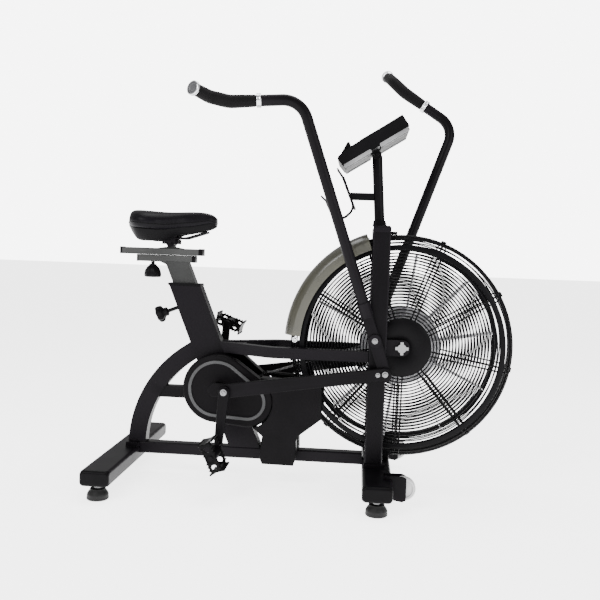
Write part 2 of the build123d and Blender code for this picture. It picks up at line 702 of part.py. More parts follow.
def belly(s):
    """Hollow cover below the rods; in front of the cage only its outer wall is left."""
    with BuildPart() as p:
        add(slab(COVER_LINE, min(s * 34, s * 84), max(s * 34, s * 84)))
        fillet(p.faces().sort_by(Axis.Y)[-1 if s > 0 else 0].edges(), radius=5)
        with BuildSketch(side(81 if s > 0 else -33)):
            with BuildLine():
                Polyline(*COVER_LINE, close=True)
            make_face()
            offset(amount=-3, mode=Mode.REPLACE)
        extrude(amount=48, mode=Mode.SUBTRACT)
        add(disc(FAN_X, FAN_Z, CAGE_R + 8, min(s * 30, s * 81), max(s * 30, s * 81)), mode=Mode.SUBTRACT)
    return p.part


with BuildPart() as belly_cover:
    add(belly(-1))
    add(belt(GUARD_AT, GUARD_BIG + 1, JACK, GUARD_SMALL + 1, -90, -20), mode=Mode.SUBTRACT)
finish(belly_cover, "belly_cover")

with BuildPart() as left_cover:
    add(belly(1))
    add(belt(BB, GUARD_BIG, JACK, GUARD_SMALL, 34, 84), mode=Mode.SUBTRACT)
    add(belt(BB, GUARD_BIG, JACK, GUARD_SMALL, 34, 76, edge=6, edged=(-1,)))
    add(belt(BB, GUARD_BIG - 3, JACK, GUARD_SMALL - 3, 33, 73), mode=Mode.SUBTRACT)
    add(belt(JACK, RING_MID + 12, FAN, RING_SMALL + 12, CHAIN_Y - 9, CHAIN_Y + 9), mode=Mode.SUBTRACT)
    add(disc(*BB, 15, 70, 90), mode=Mode.SUBTRACT)
    add(side_rails.part, mode=Mode.SUBTRACT)
finish(left_cover, "left_cover")

# ---- seat: post in the seat tube, fore-aft slide and saddle ----
POST_TOP = 669.0
SLIDE_Z = 689.0
with BuildPart() as seat_post:
    add(lean_box(418, POST_TOP, 33, 18))
    add(lean_box(410, POST_TOP - 4, 30, 15), mode=Mode.SUBTRACT)
    add(block(-546, -374, -17, 17, POST_TOP - 1, SLIDE_Z, 1.5))
    add(slab([(-478, POST_TOP), (-440, POST_TOP), (-440, 650), (-449, 650), (-457, 660)], -16, 16))
    add(block(-549, -546, -17.5, 17.5, POST_TOP - 1.5, SLIDE_Z, 1))
    add(block(-374, -366, -17.5, 17.5, POST_TOP - 1.5, SLIDE_Z, 1.5))
finish(seat_post, "seat_post")

with BuildPart() as slide_bar:
    add(block(-598, -350, -19, 19, SLIDE_Z + BUMP, SLIDE_Z + 21, 1.5))
    add(block(-602, -598, -20, 20, SLIDE_Z + BUMP, SLIDE_Z + 22, 1))
    add(block(-350, -343, -20, 20, SLIDE_Z + BUMP, SLIDE_Z + 22, 1.5))
    add(slab([(-492, SLIDE_Z + 20), (-456, SLIDE_Z + 26), (-456, SLIDE_Z + 38), (-432, SLIDE_Z + 38),
              (-432, SLIDE_Z + 26), (-398, SLIDE_Z + 20)], -8, 8))
    add(disc(-444, SLIDE_Z + 38, 12, -8, 8))
    add(disc(-444, SLIDE_Z + 38, 6 + FIT, -20, 20), mode=Mode.SUBTRACT)
finish(slide_bar, "slide_bar")

CLAMP = (-444.0, SLIDE_Z + 38)
with BuildPart() as saddle_clamp:
    add(disc(*CLAMP, 6, -27, 27))
    for s in (-1, 1):
        add(disc(*CLAMP, 13, s * 14.5 - 6, s * 14.5 + 6))
        add(block(-470, -418, s * 14.5 - 6, s * 14.5 + 6, SLIDE_Z + 34, SLIDE_Z + 49, 2))
    # Two rails carry the saddle shell.
    for s in (-1, 1):
        add(round_tube([(-545, s * 26, 752), (-500, s * 24, 742), (-395, s * 22, 742), (-330, s * 14, 763)],
                       [40, 60], 3.5))
        add(block(-462, -426, s * 23 - 5, s * 23 + 5, SLIDE_Z + 40, SLIDE_Z + 60, 1))
finish(saddle_clamp, "saddle_clamp")

# Saddle outline seen from above: (x, half width), rear to nose.
SADDLE = [(-563, 52), (-556, 88), (-528, 118), (-495, 122), (-462, 106), (-430, 72), (-395, 44),
          (-350, 30), (-318, 24), (-304, 12)]


def saddle_solid(z0, z1, shrink):
    """Closed saddle shape between two heights."""
    with BuildPart() as p:
        with BuildSketch(Plane.XY.offset(z0)):
            with BuildLine():
                pts = [(x + (shrink if x < -450 else -shrink), w - shrink) for x, w in SADDLE]
                Polyline(*pts, *[(x, -w) for x, w in reversed(pts)], close=True)
            make_face()
        extrude(amount=z1 - z0)
    return p.part


with BuildPart() as saddle_base:
    add(saddle_solid(756, 768, 8))
    add(block(-560, -430, -90, 90, 730, 756, 10))
    add(block(-600, -400, -34, 34, 700, 750), mode=Mode.SUBTRACT)
    for s in (-1, 1):
        add(round_tube([(-545, s * 26, 752), (-500, s * 24, 742), (-395, s * 22, 742), (-330, s * 14, 763)],
                       [40, 60], 3.5), mode=Mode.SUBTRACT)
finish(saddle_base, "saddle_base")

with BuildPart() as saddle_pad:
    add(saddle_solid(768.2, 824, 0))
    fillet(saddle_pad.faces().sort_by(Axis.Z)[-1].edges(), radius=9)
finish(saddle_pad, "saddle_pad")

with BuildPart() as slide_knob:
    add(post(-502, 0, 619, 640, 27))
    add(post(-502, 0, 640, 658, 27, 12))
    add(post(-502, 0, 658, POST_TOP - 1 - BUMP, 6))
finish(slide_knob, "slide_knob")

KNOB_AT = Plane(origin=(tube_x(529) - HALF_X, 0, 529), z_dir=(-TUBE_U[1], 0, TUBE_U[0]))
with BuildPart() as height_knob:
    with BuildSketch(KNOB_AT.offset(-3)):
        Circle(6)
    extrude(amount=50)
    with BuildSketch(KNOB_AT.offset(40)):
        Circle(15)
    with BuildSketch(KNOB_AT.offset(58)):
        Circle(27)
    loft()
    with BuildSketch(KNOB_AT.offset(58)):
        Circle(27)
    extrude(amount=16)
finish(height_knob, "height_knob")

# ---- console on the mast ----
CON_T = (cos(radians(CON_TILT)), sin(radians(CON_TILT)))
CON_N = (-CON_T[1], CON_T[0])
CON_O = (MAST_TOP[0] + 12 * CON_N[0], MAST_TOP[1] + 12 * CON_N[1])


def con(t, n):
    """Point t along and n above the underside of the console."""
    return (CON_O[0] + t * CON_T[0] + n * CON_N[0], CON_O[1] + t * CON_T[1] + n * CON_N[1])


CON_PLANE = Plane(origin=(CON_O[0], 0, CON_O[1]), x_dir=(CON_T[0], 0, CON_T[1]),
                  z_dir=(CON_N[0], 0, CON_N[1]))
with BuildPart() as console_housing:
    add(slab([con(-108, 2), con(-112, 30), con(-106, 36), con(-60, 42), con(114, 45), con(116, 8),
              con(108, 0), con(-100, 0)], -92, 92))
    fillet(console_housing.edges().filter_by(Axis.Y), radius=2)
    add(slab([con(-109, 32), con(-62, 60), con(-56, 58), con(-59, 38), con(-96, 30)], -70, 70))
    add(slab([con(-50, 40), con(104, 42), con(104, 60), con(-50, 60)], -78, 78), mode=Mode.SUBTRACT)
    for y in (-27, 27):
        add(slab([con(-12, 1), con(12, 1), con(9, -16), con(-9, -16)], y - 4.5, y + 4.5))
    add(disc(*MAST_TOP, 5 + FIT, -60, 60), mode=Mode.SUBTRACT)
    add(disc(*MAST_TOP, 14, -22.5, 22.5), mode=Mode.SUBTRACT)
    for t in (-1, 1):
        with BuildSketch(CON_PLANE.offset(34)):
            with Locations((-38, t * 30)):
                Rectangle(17, 37)
        extrude(amount=20, mode=Mode.SUBTRACT)
finish(console_housing, "console_housing")

with BuildPart() as console_lens:
    with BuildSketch(CON_PLANE.offset(42.4)):
        with Locations((37, 0)):
            Rectangle(126, 150)
    extrude(amount=1.5)
finish(console_lens, "console_lens")

for t, name in ((-1, "start_button"), (1, "stop_button")):
    with BuildPart() as button:
        with BuildSketch(CON_PLANE.offset(36)):
            with Locations((-38, t * 30)):
                RectangleRounded(16, 36, 4)
        extrude(amount=8)
    finish(button, name)

# ---- bottle cage on the mast ----
with BuildPart() as bottle_cage:
    add(block(104, 176, -9, 9, 876, 898))
    add(slab([(80, 944), (84, 946), (123, 848), (118, 846)], -13, 13))
    for y in (-26, 26):
        add(round_tube([(62, y, 968), (78, y, 946), (118, y, 848), (92, y, 824), (58, y, 812), (30, y, 872),
                        (16, y, 884)], [10, 30, 8, 12, 10], 2.6))
    for x, z in ((78.5, 944), (117.2, 850), (58.6, 813), (31, 870)):
        add(disc(x, z, 2.6, -26, 26))
    add(mast.part, mode=Mode.SUBTRACT)
finish(bottle_cage, "bottle_cage")
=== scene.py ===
import json
import math

import bmesh
import bpy
from mathutils import Matrix, Vector


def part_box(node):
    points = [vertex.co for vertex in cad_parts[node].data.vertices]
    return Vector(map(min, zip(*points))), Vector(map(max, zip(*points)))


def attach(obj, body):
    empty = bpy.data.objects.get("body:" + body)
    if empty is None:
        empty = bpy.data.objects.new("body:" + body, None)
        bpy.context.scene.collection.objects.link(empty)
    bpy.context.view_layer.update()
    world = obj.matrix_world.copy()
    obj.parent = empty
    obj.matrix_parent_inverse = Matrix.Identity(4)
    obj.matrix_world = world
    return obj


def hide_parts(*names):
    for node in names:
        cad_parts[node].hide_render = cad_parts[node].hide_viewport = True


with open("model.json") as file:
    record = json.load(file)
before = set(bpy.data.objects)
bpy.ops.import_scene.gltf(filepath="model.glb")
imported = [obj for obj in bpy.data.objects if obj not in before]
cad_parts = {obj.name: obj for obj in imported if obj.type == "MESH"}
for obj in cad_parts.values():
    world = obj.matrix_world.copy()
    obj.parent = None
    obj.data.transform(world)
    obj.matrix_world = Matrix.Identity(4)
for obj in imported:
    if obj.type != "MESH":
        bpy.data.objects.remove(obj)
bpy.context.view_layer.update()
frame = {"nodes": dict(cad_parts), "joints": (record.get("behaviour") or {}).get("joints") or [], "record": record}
NODES = frame["nodes"]

# Places that several pieces share, in metres, read from the CAD nodes where a node has them.


def middle(node):
    lo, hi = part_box(node)
    return (lo + hi) / 2


def joint(name):
    return next(j for j in frame["joints"] if j["name"] == name)


def joint_place(name):
    return Vector(joint(name)["pos_m"])


FAN = middle("cage_hoops")
RIM_R = (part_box("cage_hoops")[1].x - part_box("cage_hoops")[0].x) / 2
FACE_Y = 0.0765  # where the centres of a face's rings lie
HUB_R = 0.088
FIRST_SPOKE = math.radians(29.5)
SPOKES = 9


# ---- materials ----

# How much darker and lighter the slow colour drift makes each kind of surface.
PAINT_DRIFT = (0.8, 1.25)
MOULD_DRIFT = (0.82, 1.2)
METAL_DRIFT = (0.86, 1.12)
# Pointiness range where sharp edges turn paler, the largest share of the paler colour, and how much paler it is.
DRIFT_EDGES = (0.35, 0.65)
PALE_EDGE_POINTINESS = (0.53, 0.62)
PALE_EDGE_SHARE = 0.35
PALE_EDGE_GAIN = 4.0
PAINT_ROUND = 0.0016
MOULD_ROUND = 0.0012
DRAWN_LINES = (4, 4, 260)


def shader(name, color, rough, metal=0.0, coat=0.0, sheen=0.0, spec=0.5):
    mat = bpy.data.materials.new(name)
    mat.use_nodes = True
    tree = mat.node_tree
    bsdf = tree.nodes["Principled BSDF"]
    bsdf.inputs["Base Color"].default_value = (*color, 1)
    bsdf.inputs["Roughness"].default_value = rough
    bsdf.inputs["Metallic"].default_value = metal
    bsdf.inputs["Coat Weight"].default_value = coat
    bsdf.inputs["Coat Roughness"].default_value = 0.2
    bsdf.inputs["Sheen Weight"].default_value = sheen
    bsdf.inputs["Specular IOR Level"].default_value = spec
    return mat, tree, bsdf


def noise(tree, scale, detail=3.0, stretch=None):
    """Noise in the object's own metres."""
    coord = tree.nodes.new("ShaderNodeTexCoord")
    tex = tree.nodes.new("ShaderNodeTexNoise")
    tex.inputs["Scale"].default_value = scale
    tex.inputs["Detail"].default_value = detail
    if stretch:
        mapping = tree.nodes.new("ShaderNodeMapping")
        mapping.inputs["Scale"].default_value = stretch
        tree.links.new(coord.outputs["Object"], mapping.inputs["Vector"])
        tree.links.new(mapping.outputs["Vector"], tex.inputs["Vector"])
    else:
        tree.links.new(coord.outputs["Object"], tex.inputs["Vector"])
    return tex


def drifting(tree, factor, color, drift):
    """The colour, darker and lighter in slow patches."""
    ramp = tree.nodes.new("ShaderNodeValToRGB")
    for stop, position, change in zip(ramp.color_ramp.elements, DRIFT_EDGES, drift):
        stop.position = position
        stop.color = (*shade(color, change), 1)
    tree.links.new(factor, ramp.inputs["Fac"])
    return ramp.outputs["Color"]


def ranged(tree, factor, low, high):
    """A 0 to 1 factor spread over low to high."""
    node = tree.nodes.new("ShaderNodeMapRange")
    node.inputs["To Min"].default_value = low
    node.inputs["To Max"].default_value = high
    tree.links.new(factor, node.inputs["Value"])
    return node.outputs["Result"]


def bump(tree, bsdf, height, strength, distance, base=None):
    node = tree.nodes.new("ShaderNodeBump")
    if base:
        tree.links.new(base, node.inputs["Normal"])
    node.inputs["Strength"].default_value = strength
    node.inputs["Distance"].default_value = distance
    tree.links.new(height, node.inputs["Height"])
    tree.links.new(node.outputs["Normal"], bsdf.inputs["Normal"])


def shade(color, k):
    """The colour k times as bright."""
    return tuple(min(1.0, c * k) for c in color)


def soft_edges(tree, radius):
    """Rounds the shading of sharp edges the way a thin coat does."""
    node = tree.nodes.new("ShaderNodeBevel")
    node.samples = 4
    node.inputs["Radius"].default_value = radius
    return node.outputs["Normal"]


def painted(name, color, rough=0.4, grain=700.0, coat=0.0, spec=0.5):
    """Powder coat: slow colour drift, fine orange-peel grain and paler sharp edges."""
    mat, tree, bsdf = shader(name, color, rough, coat=coat, spec=spec)
    drift = noise(tree, 9.0)
    base = drifting(tree, drift.outputs["Fac"], color, PAINT_DRIFT)
    # Sharp edges, found by pointiness, are coloured paler.
    geometry = tree.nodes.new("ShaderNodeNewGeometry")
    edge = tree.nodes.new("ShaderNodeMapRange")
    edge.inputs["From Min"].default_value = PALE_EDGE_POINTINESS[0]
    edge.inputs["From Max"].default_value = PALE_EDGE_POINTINESS[1]
    edge.inputs["To Max"].default_value = PALE_EDGE_SHARE
    tree.links.new(geometry.outputs["Pointiness"], edge.inputs["Value"])
    mix = tree.nodes.new("ShaderNodeMix")
    mix.data_type = "RGBA"
    tree.links.new(edge.outputs["Result"], mix.inputs["Factor"])
    tree.links.new(base, mix.inputs["A"])
    mix.inputs["B"].default_value = (*shade(color, PALE_EDGE_GAIN), 1)
    tree.links.new(mix.outputs["Result"], bsdf.inputs["Base Color"])
    fine = noise(tree, grain, 2.0)
    tree.links.new(ranged(tree, drift.outputs["Fac"], rough - 0.07, rough + 0.09), bsdf.inputs["Roughness"])
    bump(tree, bsdf, fine.outputs["Fac"], 0.12, 0.0004, soft_edges(tree, PAINT_ROUND))
    return mat


def moulded(name, color, rough=0.5, grain=420.0, depth=0.2, sheen=0.0, spec=0.5):
    """Moulded plastic or rubber with a spark-eroded surface."""
    mat, tree, bsdf = shader(name, color, rough, sheen=sheen, spec=spec)
    drift = noise(tree, 14.0)
    base = drifting(tree, drift.outputs["Fac"], color, MOULD_DRIFT)
    tree.links.new(base, bsdf.inputs["Base Color"])
    fine = noise(tree, grain, 4.0)
    tree.links.new(ranged(tree, fine.outputs["Fac"], rough - 0.06, rough + 0.1), bsdf.inputs["Roughness"])
    bump(tree, bsdf, fine.outputs["Fac"], depth, 0.0006, soft_edges(tree, MOULD_ROUND))
    return mat


def metal(name, color, rough=0.28):
    """Brushed or polished metal with fine drawn lines."""
    mat, tree, bsdf = shader(name, color, rough, metal=1.0)
    lines = noise(tree, 6.0, 4.0, DRAWN_LINES)
    base = drifting(tree, lines.outputs["Fac"], color, METAL_DRIFT)
    tree.links.new(base, bsdf.inputs["Base Color"])
    tree.links.new(ranged(tree, lines.outputs["Fac"], rough - 0.06, rough + 0.08), bsdf.inputs["Roughness"])
    bump(tree, bsdf, lines.outputs["Fac"], 0.06, 0.0003)
    return mat


BLACK = (0.0026, 0.0022, 0.0028)
DULL = 0.05
LOOKS = {
    "frame": painted("frame_powder_coat", BLACK, 0.36, spec=DULL),
    "cage": painted("cage_coat", (0.0016, 0.0015, 0.0018), 0.36, spec=DULL),
    "cover": moulded("cover_plastic", (0.0026, 0.0022, 0.0027), 0.44, spec=DULL),
    # Shroud: dark grey plastic; the olive tint and extra lightness of its base colour are a painted warm
    # reflection.
    "shroud": painted("shroud_plastic", (0.024, 0.023, 0.0155), 0.26, 500.0, 0.1, spec=0.5),
    "ring": moulded("guard_ring_plastic", (0.042, 0.042, 0.0435), 0.42, spec=0.16),
    "cap": moulded("cap_plastic", (0.0024, 0.0022, 0.0026), 0.38, spec=0.05),
    "silver": painted("silver_coat", (0.017, 0.0172, 0.017), 0.36, 800.0, 0.0, spec=0.16),
    "chrome": metal("chrome_trim", (0.62, 0.62, 0.64), 0.14),
    "steel": metal("bare_steel", (0.22, 0.22, 0.225), 0.3),
    "foam": moulded("grip_foam", (0.003, 0.0027, 0.003), 0.66, 900.0, 0.5, 0.03, DULL),
    "rubber": moulded("foot_rubber", (0.0045, 0.0045, 0.0045), 0.55, 600.0, 0.3, spec=0.2),
    "wheel": moulded("wheel_plastic", (0.42, 0.418, 0.42), 0.42),
    "vinyl": moulded("saddle_vinyl", (0.003, 0.0026, 0.0036), 0.36, 260.0, 0.3, 0.0, 0.06),
    "console": moulded("console_plastic", (0.0026, 0.0024, 0.0028), 0.38, spec=DULL),
    "lens": moulded("lens_plastic", (0.012, 0.015, 0.018), 0.1, 60.0, 0.01),
    "button": moulded("button_plastic", (0.16, 0.16, 0.165), 0.45),
    "fan": painted("fan_paint", (0.30, 0.30, 0.32), 0.45),
    "pedal": moulded("pedal_plastic", (0.0026, 0.0024, 0.0027), 0.42, spec=DULL),
    "back": moulded("console_back_plastic", (0.15, 0.15, 0.154), 0.4),
    "disc": moulded("end_disc_plastic", (0.045, 0.045, 0.048), 0.4),
}
SLOT_LOOK = {
    "frame_black": "frame", "cage_black": "cage", "cover_black": "cover", "shroud_dark": "shroud",
    "guard_ring": "ring", "cap_plastic": "cap", "silver_tube": "silver", "chrome_trim": "chrome",
    "steel": "steel", "foam_grip": "foam", "foot_rubber": "rubber", "wheel_grey": "wheel",
    "saddle_vinyl": "vinyl", "console_shell": "console", "console_lens": "lens",
    "button_grey": "button", "fan_metal": "fan", "pedal_plastic": "pedal",
}
for row in frame["record"]["subparts"]:
    node = NODES[row["node"]]
    node.data.materials.clear()
    node.data.materials.append(LOOKS[SLOT_LOOK[row["material_slot"]]])
# These three are painted like the frame.
for name in ("saddle_clamp", "crank_axle", "jackshaft"):
    NODES[name].data.materials[0] = LOOKS["frame"]


# ---- mesh helpers ----

HOOP_STEPS = 128
WIRE_SIDES = 6
ARC_STEPS = 10


def publish(name, bm, look, body, stands_for=(), angle=40):
    """Makes an object from bm, gives it a look and lets it ride on a body."""
    mesh = bpy.data.meshes.new(name)
    bmesh.ops.recalc_face_normals(bm, faces=bm.faces)
    bm.to_mesh(mesh)
    bm.free()
    obj = bpy.data.objects.new(name, mesh)
    bpy.context.scene.collection.objects.link(obj)
    mesh.materials.append(LOOKS[look])
    mesh.shade_smooth()
    mesh.set_sharp_from_angle(angle=math.radians(angle))
    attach(obj, body)
    if stands_for:
        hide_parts(*stands_for)
    return obj


def tube_rings(bm, centres, radii, sides, closed=False):
    """Skin of round sections along a line of centres."""
    n = len(centres)
    normal = None
    loops = []
    for i in range(n):
        before = centres[(i - 1) % n] if closed or i > 0 else centres[i]
        after = centres[(i + 1) % n] if closed or i < n - 1 else centres[i]
        tangent = (after - before).normalized()
        if normal is None:
            pick = Vector((0, 1, 0)) if abs(tangent.y) < 0.9 else Vector((1, 0, 0))
            normal = tangent.cross(pick).normalized()
        normal = (normal - tangent * normal.dot(tangent)).normalized()
        side = tangent.cross(normal)
        ring = []
        for k in range(sides):
            a = 2 * math.pi * k / sides
            ring.append(bm.verts.new(centres[i] + (normal * math.cos(a) + side * math.sin(a)) * radii[i]))
        loops.append(ring)
    last = n if closed else n - 1
    for i in range(last):
        a, b = loops[i], loops[(i + 1) % n]
        for k in range(sides):
            bm.faces.new((a[k], a[(k + 1) % sides], b[(k + 1) % sides], b[k]))
    if not closed:
        bm.faces.new(loops[0][::-1])
        bm.faces.new(loops[-1])


def hoop(bm, centre, radius, y, wire):
    """Round wire ring about the fan axis."""
    points = []
    for i in range(HOOP_STEPS):
        a = 2 * math.pi * i / HOOP_STEPS
        points.append(Vector((centre.x + radius * math.cos(a), y, centre.z + radius * math.sin(a))))
    tube_rings(bm, points, [wire] * HOOP_STEPS, WIRE_SIDES, closed=True)


def spin(bm, profile, centre, segments=96):
    """Turns a closed (radius, y) profile right round the fan axis."""
    loops = []
    for i in range(segments):
        a = 2 * math.pi * i / segments
        loops.append([
            bm.verts.new((centre.x + r * math.cos(a), y, centre.z + r * math.sin(a))) for r, y in profile
        ])
    m = len(profile)
    for i in range(segments):
        a, b = loops[i], loops[(i + 1) % segments]
        for k in range(m):
            bm.faces.new((a[k], a[(k + 1) % m], b[(k + 1) % m], b[k]))


def turned(bm, profile, origin, axis, segments=32, lobes=0, depth=0.0):
    """Lathe work: (radius, along) points turned about an axis; lobes scallop the wide part."""
    axis = Vector(axis).normalized()
    pick = Vector((0, 1, 0)) if abs(axis.y) < 0.9 else Vector((1, 0, 0))
    u = axis.cross(pick).normalized()
    v = axis.cross(u)
    widest = max(r for r, along in profile)
    loops = []
    for r, along in profile:
        centre = Vector(origin) + axis * along
        if r < 1e-6:
            loops.append([bm.verts.new(centre)])
            continue
        ring = []
        for k in range(segments):
            a = 2 * math.pi * k / segments
            dent = depth * (0.5 - 0.5 * math.cos(lobes * a)) * (r / widest) ** 2 if lobes else 0.0
            ring.append(bm.verts.new(centre + (u * math.cos(a) + v * math.sin(a)) * (r - dent)))
        loops.append(ring)
    for a, b in zip(loops, loops[1:]):
        for k in range(segments):
            n = (k + 1) % segments
            if len(a) == 1 and len(b) == 1:
                continue
            if len(a) == 1:
                bm.faces.new((a[0], b[n], b[k]))
            elif len(b) == 1:
                bm.faces.new((a[k], a[n], b[0]))
            else:
                bm.faces.new((a[k], a[n], b[n], b[k]))


def bolt(bm, place, axis, r, h):
    """Button-head bolt with a socket and a washer under it."""
    turned(bm, [(0, -h * 0.2), (r * 1.35, -h * 0.2), (r * 1.35, h * 0.15), (r, h * 0.15), (r, h * 0.5),
                (r * 0.86, h * 0.82), (r * 0.6, h), (r * 0.45, h), (r * 0.42, h * 0.45), (0, h * 0.45)],
           place, axis, 24)


def soft_box(bm, lo, hi, edge):
    """Box between two corners with rounded edges."""
    made = bmesh.ops.create_cube(bm, size=1)["verts"]
    for vert in made:
        for i in range(3):
            vert.co[i] = hi[i] if vert.co[i] > 0 else lo[i]
    edges = {e for vert in made for e in vert.link_edges}
    bmesh.ops.bevel(bm, geom=list(edges), offset=edge, segments=3, affect="EDGES", profile=0.5)


def prism(bm, outline, y0, y1, edge):
    """Plate with an X, Z outline between two heights along Y, with rounded edges."""
    low = [bm.verts.new((x, y0, z)) for x, z in outline]
    high = [bm.verts.new((x, y1, z)) for x, z in outline]
    n = len(outline)
    faces = [bm.faces.new(low), bm.faces.new(high[::-1])]
    faces += [bm.faces.new((low[i], high[i], high[(i + 1) % n], low[(i + 1) % n])) for i in range(n)]
    edges = {e for face in faces for e in face.edges}
    bmesh.ops.recalc_face_normals(bm, faces=faces)
    bmesh.ops.bevel(bm, geom=list(edges), offset=edge, segments=2, affect="EDGES", profile=0.5)


def route(points, radii, step):
    """Straight runs joined by tangent arcs, as points a step apart."""
    corners = [points[0]]
    for i in range(1, len(points) - 1):
        back = (points[i - 1] - points[i]).normalized()
        ahead = (points[i + 1] - points[i]).normalized()
        half = back.angle(ahead) / 2
        centre = points[i] + (back + ahead).normalized() * (radii[i - 1] / math.sin(half))
        first = points[i] + back * (radii[i - 1] / math.tan(half)) - centre
        last = points[i] + ahead * (radii[i - 1] / math.tan(half)) - centre
        turn = math.pi - 2 * half
        axis = first.cross(last)
        for k in range(ARC_STEPS + 1):
            corners.append(centre + Matrix.Rotation(turn * k / ARC_STEPS, 3, axis) @ first)
    corners.append(points[-1])
    out = [corners[0]]
    left = step
    for a, b in zip(corners, corners[1:]):
        span = (b - a).length
        done = 0.0
        while span - done >= left:
            done += left
            out.append(a.lerp(b, done / span))
            left = step
        left -= span - done
    if (out[-1] - corners[-1]).length < step * 0.5:
        out.pop()
    out.append(corners[-1])
    return out


def along_curve(knots, t):
    """Smooth value at t through (t, value) knots."""
    for i in range(len(knots) - 1):
        if t <= knots[i + 1][0] or i == len(knots) - 2:
            break
    (t1, v1), (t2, v2) = knots[i], knots[i + 1]
    t0, v0 = knots[max(i - 1, 0)]
    t3, v3 = knots[min(i + 2, len(knots) - 1)]
    m1 = (v2 - v0) / (t2 - t0)
    m2 = (v3 - v1) / (t3 - t1)
    d = t2 - t1
    f = min(max((t - t1) / d, 0.0), 1.0)
    return (v1 * (1 + 2 * f) * (1 - f) ** 2 + m1 * d * f * (1 - f) ** 2
            + v2 * f * f * (3 - 2 * f) + m2 * d * f * f * (f - 1))


def skin(bm, sections):
    """Closed skin over closed sections with the same count of points, with closed ends."""
    loops = [[bm.verts.new(p) for p in section] for section in sections]
    n = len(loops[0])
    for a, b in zip(loops, loops[1:]):
        for k in range(n):
            bm.faces.new((a[k], a[(k + 1) % n], b[(k + 1) % n], b[k]))
    bm.faces.new(loops[0][::-1])
    bm.faces.new(loops[-1])


# ---- wire cage: rings, double spokes, wide band, shoulder hoops and rim ----
WIRE = 0.0021
SPOKE_WIRE = 0.0023
SHOULDER_WIRE = 0.002
SPOKE_HALF_GAP = 0.0065
PITCH = 0.0093
BAND = (0.288, 0.305)
# The wires' way from the flat face over to the rim, as radius and y.
SHOULDER = [(0.3055, 0.0755), (0.313, 0.0715), (0.3225, 0.061), (0.331, 0.038), (0.3335, 0.006)]


def spoke_line(side, angle, shift):
    """Points of one spoke wire from the hub over the shoulder to the rim."""
    along = Vector((math.cos(angle), 0, math.sin(angle)))
    across = Vector((-math.sin(angle), 0, math.cos(angle)))
    points = []
    for r in (HUB_R - 0.006, 0.15, 0.22, 0.286):
        points.append(FAN + along * r + across * shift + Vector((0, side * (FACE_Y - 0.0032), 0)))
    for r, y in SHOULDER:
        points.append(FAN + along * (r - 0.0035) + across * shift + Vector((0, side * (y - 0.0015), 0)))
    return points


for side, node in ((-1, "grille_right"), (1, "grille_left")):
    bm = bmesh.new()
    radius = HUB_R + PITCH * 0.7
    while radius < BAND[0] - 0.002:
        hoop(bm, FAN, radius, side * FACE_Y, WIRE)
        radius += PITCH
    for k in range(SPOKES):
        angle = FIRST_SPOKE + k * 2 * math.pi / SPOKES
        for shift in (-SPOKE_HALF_GAP, SPOKE_HALF_GAP):
            line = spoke_line(side, angle, shift)
            tube_rings(bm, line, [SPOKE_WIRE] * len(line), WIRE_SIDES)
    publish("wires_" + node, bm, "cage", "frame", (node,))

bm = bmesh.new()
for side in (-1, 1):
    y0 = side * (FACE_Y - 0.0025)
    y1 = side * (FACE_Y + 0.0005)
    spin(bm, [(BAND[0], y0), (BAND[0] + 0.002, y1), (BAND[1] - 0.004, y1), (BAND[1], y0)], FAN)
    for r, y in SHOULDER[1:4]:
        hoop(bm, FAN, r - 0.001, side * y, SHOULDER_WIRE)
spin(bm, [(RIM_R - 0.012, -0.009), (RIM_R - 0.004, -0.010), (RIM_R - 0.0005, -0.006),
          (RIM_R - 0.0005, 0.006), (RIM_R - 0.004, 0.010), (RIM_R - 0.012, 0.009)], FAN, 160)
publish("cage_rim", bm, "cage", "frame", ("cage_hoops",))

bm = bmesh.new()
for side in (-1, 1):
    y = side * FACE_Y
    out = side * 0.0035
    spin(bm, [(0.012, y - out), (0.012, y + out * 0.4), (0.030, y + out * 0.4), (0.034, y + out),
              (0.070, y + out), (0.080, y + out * 0.5), (HUB_R, y - out * 0.4), (HUB_R, y - out)], FAN, 72)
publish("hub_discs", bm, "cap", "frame")

# ---- saddle: padded cover with piping, and the plastic shell under it ----
PAD_LO, PAD_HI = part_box("saddle_pad")
BASE_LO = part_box("saddle_base")[0]
# Knots along the saddle from the rear (0) to the nose (1): half width, drop of the top below the
# highest point, depth of the pad, and height of the shell's lower edge.
HALF_WIDTH = [(0, 0.062), (0.04, 0.090), (0.12, 0.114), (0.22, 0.1215), (0.36, 0.111), (0.5, 0.082),
              (0.64, 0.052), (0.8, 0.036), (0.93, 0.029), (1, 0.018)]
DROP = [(0, 0.010), (0.04, 0.002), (0.12, 0.0), (0.45, 0.0035), (0.72, 0.0), (0.86, 0.001),
        (0.95, 0.007), (1, 0.017)]
PAD_DEEP = [(0, 0.044), (0.1, 0.055), (0.4, 0.056), (0.6, 0.050), (0.8, 0.043), (1, 0.022)]
SHELL_LOW = [(0, 0.768), (0.05, 0.752), (0.13, 0.7325), (0.38, 0.7305), (0.47, 0.734), (0.55, 0.748),
             (0.74, 0.758), (0.92, 0.770), (1, 0.780)]
# Half sections from the top middle to the bottom middle, as shares of half width and depth.
PAD_SHAPE = [(0, 0.07), (0.14, 0.02), (0.34, 0), (0.56, 0.015), (0.76, 0.09), (0.91, 0.26), (0.99, 0.5),
             (0.985, 0.72), (0.93, 0.92), (0.86, 1), (0.5, 1.0), (0, 1.0)]
SHELL_SHAPE = [(0, 0.02), (0.5, 0.02), (0.88, 0.0), (0.92, 0.06), (0.86, 0.4), (0.75, 0.8), (0.68, 0.97),
               (0.6, 1.0), (0.53, 0.97), (0.48, 0.4), (0, 0.3)]
STATIONS = 36
SHELL_END_INSET = 0.004
SHELL_LEAST_DEEP = 0.004
PIPING_R = 0.0013


def both_sides(shape):
    """Full closed section from the half that was drawn from the top middle to the bottom middle."""
    return shape + [(-y, z) for y, z in shape[-2:0:-1]]


